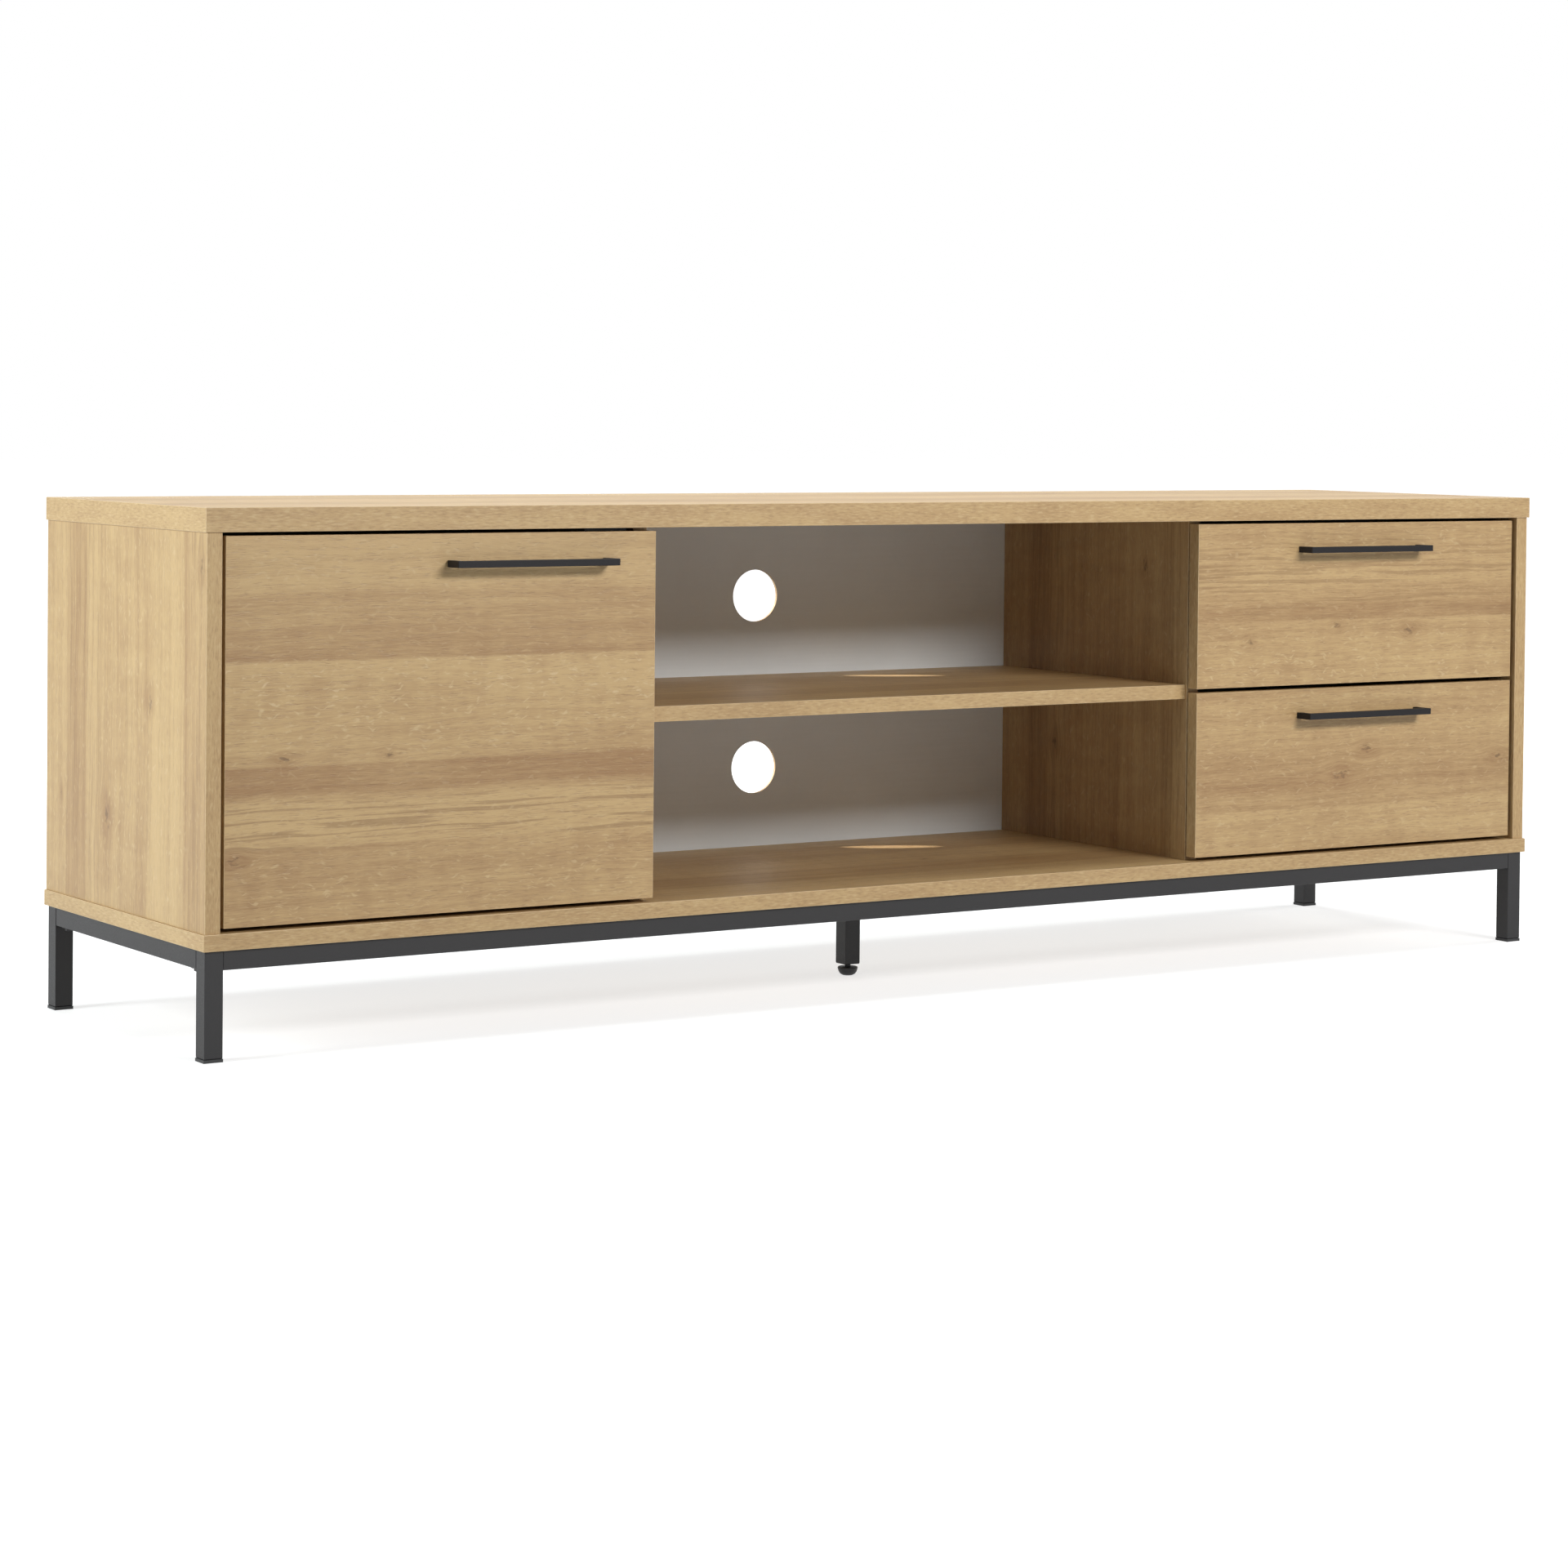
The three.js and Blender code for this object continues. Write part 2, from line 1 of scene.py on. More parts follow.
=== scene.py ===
"""Looks of a low television cabinet: oak-look laminate, powder-coated steel, hardware and studio."""

import math

import bmesh
import bpy
from mathutils import Matrix, Vector


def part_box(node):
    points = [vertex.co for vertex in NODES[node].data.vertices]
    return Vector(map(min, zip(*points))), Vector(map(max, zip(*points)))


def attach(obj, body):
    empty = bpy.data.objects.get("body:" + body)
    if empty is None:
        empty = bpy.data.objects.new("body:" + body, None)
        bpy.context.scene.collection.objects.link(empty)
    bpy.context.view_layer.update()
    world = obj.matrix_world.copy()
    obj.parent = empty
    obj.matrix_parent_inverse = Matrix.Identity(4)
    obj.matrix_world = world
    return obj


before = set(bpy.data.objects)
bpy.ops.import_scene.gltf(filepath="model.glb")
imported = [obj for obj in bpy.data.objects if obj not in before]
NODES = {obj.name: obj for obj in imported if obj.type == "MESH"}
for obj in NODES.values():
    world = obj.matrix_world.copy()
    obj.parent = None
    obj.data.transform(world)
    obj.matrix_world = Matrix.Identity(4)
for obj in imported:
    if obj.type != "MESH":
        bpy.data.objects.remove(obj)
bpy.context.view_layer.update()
MM = 0.001
X, Y, Z = 0, 1, 2

# ---------------------------------------------------------------- camera and light

CAMERA_PLACE = (-2.2106, -3.2850, 0.5928)
CAMERA_TURN = math.radians(-33.02)
CAMERA_TILT = math.radians(-1.31)
CAMERA_ROLL = math.radians(0.551)
CAMERA_LENS = 87.6
CAMERA_SHIFT_Y = -0.1875

WHITE = (1.0, 1.0, 1.0)
COOL_WHITE = (0.92, 0.99, 1.0)
ROOM_LIGHT, FILL_LIGHT = 1.0, 0.12

# Softboxes: name, place, aim, width, height, power, colour, whether they show in reflections
SOFTBOXES = [
    ("key_box", (0.80, -3.15, 1.85), (0.20, -0.15, 0.30), 1.5, 0.6, 88.0, WHITE, True),
    ("side_box", (-3.1, 0.05, 1.2), (-0.8, 0.0, 0.3), 1.0, 1.6, 74.0, COOL_WHITE, True),
    ("top_box", (0.0, 0.0, 3.2), (0.0, 0.0, 0.0), 2.2, 1.2, 62.0, COOL_WHITE, True),
    ("back_box", (0.9, 3.1, 1.3), (0.0, 0.17, 0.30), 1.4, 0.8, 46.0, COOL_WHITE, False),
    ("right_box", (3.1, 0.2, 1.1), (0.8, 0.0, 0.30), 1.0, 1.4, 34.0, WHITE, False),
]

# Narrow beams that reach the boards through the cable holes
GLEAM_FROM = (-2.4, 1.5, 1.6)
GLEAM_POWER = 1300.0
GLEAM_ANGLE = math.radians(1.15)
GLEAM_BLEND = 0.2
GLEAM_BULB = 0.02

# Floor: half size, grey, half axes of the oval that keeps the shadow, and its painted glow inside and outside
FLOOR_HALF_SIZE = 30.0
FLOOR_GREY = (0.46, 0.46, 0.46, 1.0)
SHADOW_OVAL = (1.35, 0.75)
PAINTED_GLOW_STARTS, PAINTED_GLOW_ENDS = 0.9, 1.8
PAINTED_GLOW_INSIDE, PAINTED_GLOW_OUTSIDE = 0.70, 1.05


def add_camera():
    data = bpy.data.cameras.new("camera")
    data.lens = CAMERA_LENS
    data.sensor_width = 36.0
    data.shift_y = CAMERA_SHIFT_Y
    data.clip_end = 100.0
    camera = bpy.data.objects.new("camera", data)
    bpy.context.scene.collection.objects.link(camera)
    turn = Matrix.Rotation(CAMERA_TURN, 4, "Z")
    tilt = Matrix.Rotation(math.pi / 2 + CAMERA_TILT, 4, "X")
    roll = Matrix.Rotation(CAMERA_ROLL, 4, "Z")
    camera.matrix_world = Matrix.Translation(CAMERA_PLACE) @ turn @ tilt @ roll
    bpy.context.scene.camera = camera


def add_softbox(name, place, target, width, height, power, colour, glossy):
    data = bpy.data.lights.new(name, "AREA")
    data.shape = "RECTANGLE"
    data.size = width
    data.size_y = height
    data.energy = power
    data.color = colour
    light = bpy.data.objects.new(name, data)
    bpy.context.scene.collection.objects.link(light)
    light.location = place
    aim = Vector(target) - Vector(place)
    light.rotation_euler = aim.to_track_quat("-Z", "Y").to_euler()
    light.visible_camera = False
    light.visible_glossy = glossy


def add_gleam(name, hole):
    """Narrow beam through a cable hole, which draws a thin bright oval on the board below it."""
    data = bpy.data.lights.new(name, "SPOT")
    data.energy = GLEAM_POWER
    data.spot_size = GLEAM_ANGLE
    data.spot_blend = GLEAM_BLEND
    data.shadow_soft_size = GLEAM_BULB
    light = bpy.data.objects.new(name, data)
    bpy.context.scene.collection.objects.link(light)
    light.location = Vector(hole) + Vector(GLEAM_FROM)
    light.rotation_euler = (-Vector(GLEAM_FROM)).to_track_quat("-Z", "Y").to_euler()


def add_room():
    """White room for the camera and for reflections, with only a little light from all round."""
    world = bpy.data.worlds.new("studio")
    bpy.context.scene.world = world
    world.use_nodes = True
    tree = world.node_tree
    tree.nodes.clear()
    out = tree.nodes.new("ShaderNodeOutputWorld")
    path = tree.nodes.new("ShaderNodeLightPath")
    mix = tree.nodes.new("ShaderNodeMixShader")
    tree.links.new(path.outputs["Is Diffuse Ray"], mix.inputs["Fac"])
    for socket, strength in ((mix.inputs[1], ROOM_LIGHT), (mix.inputs[2], FILL_LIGHT)):
        background = tree.nodes.new("ShaderNodeBackground")
        background.inputs["Color"].default_value = (1.0, 1.0, 1.0, 1.0)
        background.inputs["Strength"].default_value = strength
        tree.links.new(background.outputs["Background"], socket)
    tree.links.new(mix.outputs["Shader"], out.inputs["Surface"])


def add_studio():
    view = bpy.context.scene.view_settings
    view.view_transform = "Standard"
    view.look = "None"
    add_room()
    for softbox in SOFTBOXES:
        add_softbox(*softbox)
    for hole_x, hole_z, _ in CABLE_HOLES:
        add_gleam("cable_hole_gleam", (hole_x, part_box("back_panel")[1][Y], hole_z))


def add_floor():
    """Grey floor with a painted glow: weaker inside an oval round the cabinet, so the lamps' shadow shows
    there, and stronger further out, where it turns into the white room.
    """
    shape = bmesh.new()
    bmesh.ops.create_grid(shape, x_segments=1, y_segments=1, size=FLOOR_HALF_SIZE)
    mesh = bpy.data.meshes.new("floor")
    shape.to_mesh(mesh)
    shape.free()
    floor = bpy.data.objects.new("floor", mesh)
    bpy.context.scene.collection.objects.link(floor)
    paint = Paint("studio_floor", roughness=1.0)
    paint.surface.inputs["Specular IOR Level"].default_value = 0.0
    paint.base(FLOOR_GREY)
    x, y, _ = paint.object_axes()
    long_axis, short_axis = SHADOW_OVAL
    reach = paint.distance(paint.math("DIVIDE", x, long_axis), paint.math("DIVIDE", y, short_axis))
    # painted glow: weaker inside the oval, which is painted shade on the floor round the cabinet, and full
    # white further out; diffuse bounces don't see it
    painted_glow = paint.remap(reach, PAINTED_GLOW_STARTS, PAINTED_GLOW_ENDS, PAINTED_GLOW_INSIDE, PAINTED_GLOW_OUTSIDE, smooth=True)
    path = paint.node("ShaderNodeLightPath")
    not_bounced = paint.less(1.0, path.outputs["Is Diffuse Ray"])
    paint.surface.inputs["Emission Color"].default_value = (1.0, 1.0, 1.0, 1.0)
    paint.link(paint.times(painted_glow, not_bounced), paint.surface.inputs["Emission Strength"])
    mesh.materials.append(paint.material)


# ---------------------------------------------------------------- material building


class Paint:
    """One node material on object coordinates, with short helpers for the usual nodes."""

    def __init__(self, name, roughness=0.5, metallic=0.0):
        self.material = bpy.data.materials.new(name)
        self.material.use_nodes = True
        self.tree = self.material.node_tree
        self.tree.nodes.clear()
        self.surface = self.node("ShaderNodeBsdfPrincipled")
        self.surface.inputs["Roughness"].default_value = roughness
        self.surface.inputs["Metallic"].default_value = metallic
        out = self.node("ShaderNodeOutputMaterial")
        self.link(self.surface.outputs["BSDF"], out.inputs["Surface"])

    def node(self, kind, **settings):
        made = self.tree.nodes.new(kind)
        for key, value in settings.items():
            setattr(made, key, value)
        return made

    def link(self, source, target):
        self.tree.links.new(source, target)

    def feed(self, socket, value):
        if isinstance(value, bpy.types.NodeSocket):
            self.link(value, socket)
        else:
            socket.default_value = value

    def base(self, colour):
        self.feed(self.surface.inputs["Base Color"], colour)

    def object_axes(self):
        """Object coordinates as three separate values."""
        place = self.node("ShaderNodeTexCoord").outputs["Object"]
        split = self.node("ShaderNodeSeparateXYZ")
        self.link(place, split.inputs[0])
        return [split.outputs[axis] for axis in ("X", "Y", "Z")]

    def math(self, operation, *values, clamp=False):
        made = self.node("ShaderNodeMath", operation=operation, use_clamp=clamp)
        for socket, value in zip(made.inputs, values):
            self.feed(socket, value)
        return made.outputs[0]

    def add(self, first, second):
        return self.math("ADD", first, second)

    def less(self, first, second):
        return self.math("SUBTRACT", first, second)

    def times(self, first, second):
        return self.math("MULTIPLY", first, second)

    def swing(self, pattern, amount):
        """A pattern that lies round one half, turned into a swing to both sides of nought."""
        return self.times(self.less(pattern, 0.5), amount)

    def distance(self, first, second):
        """Length of the diagonal of two offsets."""
        return self.math("SQRT", self.add(self.math("POWER", first, 2.0), self.math("POWER", second, 2.0)))

    def vector(self, x, y, z):
        made = self.node("ShaderNodeCombineXYZ")
        for socket, value in zip(made.inputs, (x, y, z)):
            self.feed(socket, value)
        return made.outputs[0]

    def noise(self, vector, scale=1.0, detail=2.0, roughness=0.5, distortion=0.0):
        made = self.node("ShaderNodeTexNoise")
        self.link(vector, made.inputs["Vector"])
        made.inputs["Scale"].default_value = scale
        made.inputs["Detail"].default_value = detail
        made.inputs["Roughness"].default_value = roughness
        made.inputs["Distortion"].default_value = distortion
        return made.outputs[0]

    def remap(self, value, low, high, to_low=0.0, to_high=1.0, smooth=False):
        made = self.node("ShaderNodeMapRange", clamp=True)
        if smooth:
            made.interpolation_type = "SMOOTHSTEP"
        for socket, number in zip(made.inputs, (value, low, high, to_low, to_high)):
            self.feed(socket, number)
        return made.outputs[0]

    def mix(self, factor, first, second, blend="MIX"):
        made = self.node("ShaderNodeMix", data_type="RGBA", blend_type=blend)
        self.feed(made.inputs[0], factor)
        self.feed(made.inputs[6], first)
        self.feed(made.inputs[7], second)
        return made.outputs[2]

    def bump(self, height, distance, strength=1.0):
        made = self.node("ShaderNodeBump")
        made.inputs["Distance"].default_value = distance
        made.inputs["Strength"].default_value = strength
        self.link(height, made.inputs["Height"])
        self.link(made.outputs[0], self.surface.inputs["Normal"])


# Laminate colours, linear
OAK_PALE = (0.590, 0.440, 0.245, 1.0)
OAK_LIGHT = (0.515, 0.352, 0.166, 1.0)
OAK_BROWN = (0.305, 0.172, 0.072, 1.0)
OAK_PORE = (0.215, 0.118, 0.046, 1.0)
OAK_KNOT = (0.100, 0.050, 0.020, 1.0)
EDGE_DEPTH = 0.45 * MM

# Grain patterns: steps per metre along and across the grain, offset of the seed, detail, roughness
CLOUD = (3.0, 14.0, 0.0, 2.0, 0.5)
STREAK = (2.4, 70.0, 1.0, 3.0, 0.6)
RING = (8.0, 300.0, 2.0, 2.0, 0.5)
FIBRE = (60.0, 900.0, 4.0, 2.0, 0.65)
DASH = (95.0, 1000.0, 5.0, 1.0, 0.5)
CLOUD_SHARE, STREAK_SHARE, RING_SHARE, FIBRE_SHARE = 0.75, 0.85, 0.35, 1.05

# Slow wander of the grain, in metres, and how much of it the joints between staves follow
SLOW_SWAY, QUICK_SWAY, JOINT_SWAY = 0.022, 0.006, 0.06
# Knots: length to height, pull on the grain, raggedness of the core, and reach of swirl and halo
KNOT_LENGTH, KNOT_PULL, KNOT_RAGGED, SWIRL_REACH, HALO_REACH = 1.7, 0.75, 4.2, 5.0, 4.0
KNOT_HALO, KNOT_DARK = 0.26, 0.62
LINE_DARK, PORE_DARK, CURL_LEAST, CURL_LEAN = 0.50, 0.40, 0.18, 0.016
# Edge band: steps per metre across the thickness and along the board
EDGE_ACROSS, EDGE_ALONG = 640.0, 120.0


def stave_ramp(paint, place, staves):
    """Tone, line and curl strength across the board, from (place, tone, lines, curl) rows."""
    ramp = paint.node("ShaderNodeValToRGB")
    paint.link(place, ramp.inputs["Fac"])
    stops = ramp.color_ramp.elements
    stops[0].position, stops[1].position = staves[0][0], staves[-1][0]
    for row in staves[1:-1]:
        stops.new(row[0])
    for stop, row in zip(stops, staves):
        stop.color = (row[1], row[2], row[3], 1.0)
    split = paint.node("ShaderNodeSeparateColor")
    paint.link(ramp.outputs["Color"], split.inputs[0])
    return split.outputs[0], split.outputs[1], split.outputs[2]


class OakPrint(Paint):
    """Laminate printed with oak: grain along one axis, staves side by side across the other."""

    def __init__(self, node, along, across, seed):
        super().__init__(f"oak_{node}", roughness=0.5)
        self.low, self.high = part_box(node)
        self.along, self.across, self.thick = along, across, X + Y + Z - along - across
        self.axes = self.object_axes()
        self.u, self.v, self.w = (self.axes[axis] for axis in (along, across, self.thick))
        self.seed = seed
        self.grain = None

    def place(self, axis, share):
        """Coordinate at a share of the way from the board's low to its high side."""
        return self.low[axis] + share * (self.high[axis] - self.low[axis])

    def face_noise(self, steps_along, steps_across, offset=0.0, detail=1.0):
        """Noise over the face that takes no notice of the bend of the grain."""
        u, v = self.times(self.u, steps_along), self.times(self.v, steps_across)
        return self.noise(self.vector(u, v, self.seed + offset), 1.0, detail)

    def grain_noise(self, steps_along, steps_across, offset, detail, roughness):
        """Noise stretched along the bent grain."""
        at = self.vector(
            self.times(self.u, steps_along),
            self.times(self.grain, steps_across),
            self.add(self.times(self.w, steps_across), self.seed + offset),
        )
        return self.noise(at, 1.0, detail, roughness)

    def bend_grain(self, knots):
        """Sets the bent grain, and returns its bend with the knots' cores and halos."""
        slow = self.noise(self.vector(self.u, self.v, self.seed), 2.0, 1.0)
        bend = self.add(self.swing(slow, SLOW_SWAY), self.swing(self.face_noise(9.0, 14.0), QUICK_SWAY))
        torn = self.face_noise(150.0, 300.0, detail=2.0)
        core, halo = 0.0, 0.0
        for knot_along, knot_across, size in knots:
            du = self.less(self.u, self.place(self.along, knot_along))
            dv = self.less(self.v, self.place(self.across, knot_across))
            far = self.distance(self.math("DIVIDE", du, KNOT_LENGTH * size), self.math("DIVIDE", dv, size))
            swirl = self.remap(far, 0.0, SWIRL_REACH, 1.0, 0.0, smooth=True)
            bend = self.less(bend, self.times(self.times(dv, swirl), KNOT_PULL))
            ragged = self.add(far, self.swing(torn, KNOT_RAGGED))
            core = self.math("MAXIMUM", self.remap(ragged, 0.0, 0.9, 1.0, 0.0), core)
            halo = self.math("MAXIMUM", self.remap(far, 0.6, HALO_REACH, 1.0, 0.0, smooth=True), halo)
        self.grain = self.add(self.v, bend)
        return bend, core, halo

    def stave_values(self, bend, staves):
        """Staves with nearly straight joints, whose tone comes and goes along the board."""
        joint_at = self.add(self.v, self.times(bend, JOINT_SWAY))
        width = self.high[self.across] - self.low[self.across]
        place = self.math("DIVIDE", self.less(joint_at, self.low[self.across]), width)
        tone, lines, curl = stave_ramp(self, place, staves)
        fade = self.face_noise(3.0, 5.0, offset=3.0)
        return self.times(tone, self.remap(fade, 0.35, 0.65, 1.15, 0.85)), lines, curl

    def pale_curls(self):
        """Short pale flecks that lean across the grain."""
        lean = self.face_noise(55.0, 55.0)
        across = self.times(self.add(self.v, self.times(lean, CURL_LEAN)), 400.0)
        at = self.vector(self.times(self.u, 120.0), across, self.times(self.w, 400.0))
        return self.remap(self.noise(at, 1.0, 1.0), 0.61, 0.74)

    def edge_print(self):
        """The same print cut short, for the faces round the rim of the board."""
        steps = [EDGE_ACROSS if axis == self.thick else EDGE_ALONG for axis in (X, Y, Z)]
        at = self.vector(*[self.times(axis, count) for axis, count in zip(self.axes, steps)])
        cut = self.noise(at, 1.0, 2.0, 0.6)
        slow_cut = self.noise(at, 0.09, 2.0)
        edge = self.mix(self.remap(slow_cut, 0.3, 0.7, 0.05, 0.45), OAK_LIGHT, OAK_BROWN)
        edge = self.mix(self.remap(cut, 0.34, 0.47, 0.30, 0.0), edge, OAK_PORE)
        return self.mix(self.remap(cut, 0.54, 0.68, 0.0, 0.50), edge, OAK_PALE)

    def on_edge(self):
        """One on the rim of the board, nought on its two faces."""
        outside = 0.0
        for axis in (self.along, self.across):
            middle, half = self.place(axis, 0.5), (self.high[axis] - self.low[axis]) / 2
            off = self.math("ABSOLUTE", self.less(self.axes[axis], middle))
            outside = self.math("MAXIMUM", self.math("GREATER_THAN", off, half - EDGE_DEPTH), outside)
        return outside


def oak(node, along, across, seed, staves, knots):
    """Oak laminate for one board: tone first, then lines, pores, curls and knots, then the edge band."""
    paint = OakPrint(node, along, across, seed)
    bend, core, halo = paint.bend_grain(knots)
    tone, lines, curl = paint.stave_values(bend, staves)
    ring, fibre = paint.grain_noise(*RING), paint.grain_noise(*FIBRE)
    tone = paint.add(tone, paint.swing(paint.grain_noise(*CLOUD), CLOUD_SHARE))
    tone = paint.add(tone, paint.swing(paint.grain_noise(*STREAK), STREAK_SHARE))
    tone = paint.add(tone, paint.swing(ring, RING_SHARE))
    tone = paint.add(tone, paint.swing(fibre, FIBRE_SHARE))
    mottle = paint.face_noise(45.0, 17.0, detail=2.0)
    tone = paint.add(tone, paint.swing(mottle, paint.add(curl, 0.25)))
    tone = paint.math("ADD", tone, paint.times(halo, KNOT_HALO), clamp=True)
    face = paint.mix(tone, OAK_LIGHT, OAK_BROWN)

    dark_line = paint.times(paint.remap(ring, 0.52, 0.60), lines)
    face = paint.mix(paint.times(dark_line, LINE_DARK), face, OAK_PORE)
    pore = paint.remap(paint.grain_noise(*DASH), 0.58, 0.74)
    face = paint.mix(paint.times(pore, PORE_DARK), face, OAK_PORE)
    face = paint.mix(paint.times(paint.pale_curls(), paint.add(CURL_LEAST, curl)), face, OAK_PALE)
    face = paint.mix(paint.times(core, KNOT_DARK), face, OAK_KNOT)
    paint.base(paint.mix(paint.on_edge(), face, paint.edge_print()))

    paint.link(paint.remap(fibre, 0.3, 0.7, 0.52, 0.40), paint.surface.inputs["Roughness"])
    paint.bump(paint.less(paint.times(fibre, 0.6), paint.times(pore, 0.7)), 0.10 * MM)
    return paint.material


def painted_edge_highlight(name):
    """Thin rounded edge of the band, coloured paler as a painted highlight along the edge."""
    paint = Paint(name, roughness=0.45)
    x, y, z = paint.object_axes()
    speck = paint.noise(paint.vector(x, y, z), 260.0, 2.0)
    paint.base(paint.mix(speck, (0.46, 0.31, 0.15, 1.0), (0.66, 0.50, 0.30, 1.0)))
    return paint.material


def powder_coat(name, colour, roughness, gloss):
    """Fine orange-peel texture of baked powder paint."""
    paint = Paint(name, roughness=roughness)
    x, y, z = paint.object_axes()
    place = paint.vector(x, y, z)
    cloud = paint.noise(place, 14.0, 2.0)
    darker = tuple(0.82 * c for c in colour[:3]) + (1.0,)
    paint.base(paint.mix(cloud, colour, darker))
    grit = paint.noise(place, 1500.0, 2.0, 0.6)
    uneven = paint.remap(grit, 0.3, 0.7, roughness - 0.06, roughness + 0.10)
    paint.link(uneven, paint.surface.inputs["Roughness"])
    paint.bump(grit, 0.00009)
    paint.surface.inputs["Specular IOR Level"].default_value = gloss
    return paint.material


def plated_metal(name, colour, roughness, along):
    """Rolled and plated sheet with faint drawing lines along one axis."""
    paint = Paint(name, roughness=roughness, metallic=1.0)
    axes = paint.object_axes()
    stretched = [paint.math("MULTIPLY", axes[i], 30.0 if i == along else 1400.0) for i in range(3)]
    line = paint.noise(paint.vector(*stretched), 1.0, 2.0)
    cloud = paint.noise(paint.vector(*axes), 60.0, 2.0)
    dull = tuple(0.80 * c for c in colour[:3]) + (1.0,)
    paint.base(paint.mix(paint.remap(cloud, 0.35, 0.65), colour, dull))
    uneven = paint.remap(line, 0.3, 0.7, roughness - 0.07, roughness + 0.12)
    paint.link(uneven, paint.surface.inputs["Roughness"])
    paint.bump(line, 0.00003)
    return paint.material


def moulded_plastic(name, colour, roughness):
    paint = Paint(name, roughness=roughness)
    x, y, z = paint.object_axes()
    grit = paint.noise(paint.vector(x, y, z), 900.0, 2.0)
    lighter = tuple(min(1.0, 1.35 * c + 0.002) for c in colour[:3]) + (1.0,)
    paint.base(paint.mix(paint.remap(grit, 0.4, 0.7), colour, lighter))
    paint.bump(grit, 0.00006)
    return paint.material


def painted_board(name, colour, roughness, holes=()):
    """Lacquered fibreboard: even, with a faint pressed grain, and raw brown fibre inside its bored holes."""
    paint = Paint(name, roughness=roughness)
    x, y, z = paint.object_axes()
    line_at = paint.vector(paint.math("MULTIPLY", x, 12.0), y, paint.math("MULTIPLY", z, 300.0))
    line = paint.noise(line_at, 1.0, 3.0)
    cloud = paint.noise(paint.vector(x, y, z), 5.0, 3.0)
    darker = tuple(0.90 * c for c in colour[:3]) + (1.0,)
    shade = paint.mix(paint.remap(cloud, 0.3, 0.7), colour, darker)
    shade = paint.mix(paint.remap(line, 0.3, 0.7, 0.0, 0.35), shade, darker)
    fibre = paint.noise(paint.vector(x, y, z), 700.0, 2.0)
    raw = paint.mix(fibre, (0.300, 0.190, 0.095, 1.0), (0.480, 0.340, 0.190, 1.0))
    for hole_x, hole_z, radius in holes:
        dx = paint.math("SUBTRACT", x, hole_x)
        dz = paint.math("SUBTRACT", z, hole_z)
        far = paint.distance(dx, dz)
        shade = paint.mix(paint.math("LESS_THAN", far, radius), shade, raw)
    paint.base(shade)
    paint.bump(line, 0.00005)
    return paint.material


# ---------------------------------------------------------------- CAD pieces


def dress(node, material, bevel=0.0, segments=2, edge=None, angle=40.0):
    """Gives a CAD piece its material, and rounds its edges a little."""
    piece = NODES[node]
    piece.data.materials.clear()
    piece.data.materials.append(material)
    if bevel:
        weld = piece.modifiers.new("weld", "WELD")
        weld.merge_threshold = 0.00001
        rounding = piece.modifiers.new("rounding", "BEVEL")
        rounding.width = bevel
        rounding.segments = segments
        rounding.limit_method = "ANGLE"
        rounding.angle_limit = math.radians(angle)
        rounding.harden_normals = False
        # the rounding gets the edge material; on the boards that is the pale painted highlight
        if edge is not None:
            piece.data.materials.append(edge)
            rounding.material = 1
    return piece


# pale painted highlight for the boards' rounded edges
PAINTED_EDGE_HIGHLIGHT = painted_edge_highlight("oak_edge_painted_highlight")

# Staves of each board from its low to its high edge: (place, tone, dark lines, pale curls)
DOOR_STAVES = [
    (0.00, 0.34, 0.10, 0.30), (0.10, 0.40, 0.10, 0.35), (0.190, 0.46, 0.10, 0.15), (0.200, 0.12, 0.90, 0.10),
    (0.25, 0.06, 1.00, 0.15), (0.31, 0.16, 0.80, 0.10), (0.345, 0.84, 0.30, 0.05), (0.402, 1.00, 0.15, 0.05),
    (0.408, 0.50, 0.10, 0.10), (0.47, 0.36, 0.10, 0.35), (0.58, 0.14, 0.05, 0.60), (0.672, 0.04, 0.05, 0.60),
    (0.678, 0.74, 0.10, 0.10), (0.76, 0.52, 0.15, 0.10), (0.845, 0.54, 0.10, 0.10), (0.875, 0.14, 0.20, 0.25),
    (1.00, 0.20, 0.10, 0.25),
]
UPPER_DRAWER_STAVES = [
    (0.00, 0.30, 0.10, 0.40), (0.14, 0.24, 0.10, 0.40), (0.33, 0.44, 0.10, 0.25), (0.395, 0.46, 0.10, 0.10),
    (0.405, 0.78, 0.40, 0.05), (0.46, 0.70, 0.50, 0.05), (0.55, 0.48, 0.60, 0.05), (0.68, 0.22, 0.80, 0.10),
    (0.80, 0.26, 0.60, 0.20), (1.00, 0.34, 0.20, 0.35),
]
LOWER_DRAWER_STAVES = [
    (0.00, 0.30, 0.10, 0.30), (0.26, 0.26, 0.15, 0.25), (0.275, 0.50, 0.20, 0.15), (0.42, 0.56, 0.25, 0.15),
    (0.60, 0.46, 0.15, 0.20), (0.72, 0.26, 0.10, 0.30), (1.00, 0.34, 0.20, 0.20),
]
SIDE_STAVES = [
    (0.00, 0.50, 0.50, 0.05), (0.05, 0.36, 0.60, 0.10), (0.115, 0.44, 0.50, 0.10), (0.120, 0.62, 0.20, 0.05),
    (0.135, 0.12, 0.15, 0.25), (0.34, 0.16, 0.20, 0.30), (0.355, 0.40, 0.25, 0.20), (0.50, 0.32, 0.20, 0.45),
    (0.62, 0.38, 0.20, 0.35), (0.66, 0.16, 0.50, 0.10), (0.73, 0.22, 0.60, 0.10), (0.745, 0.66, 0.50, 0.05),
    (0.85, 0.60, 0.60, 0.05), (0.87, 0.26, 0.20, 0.20), (1.00, 0.32, 0.10, 0.20),
]
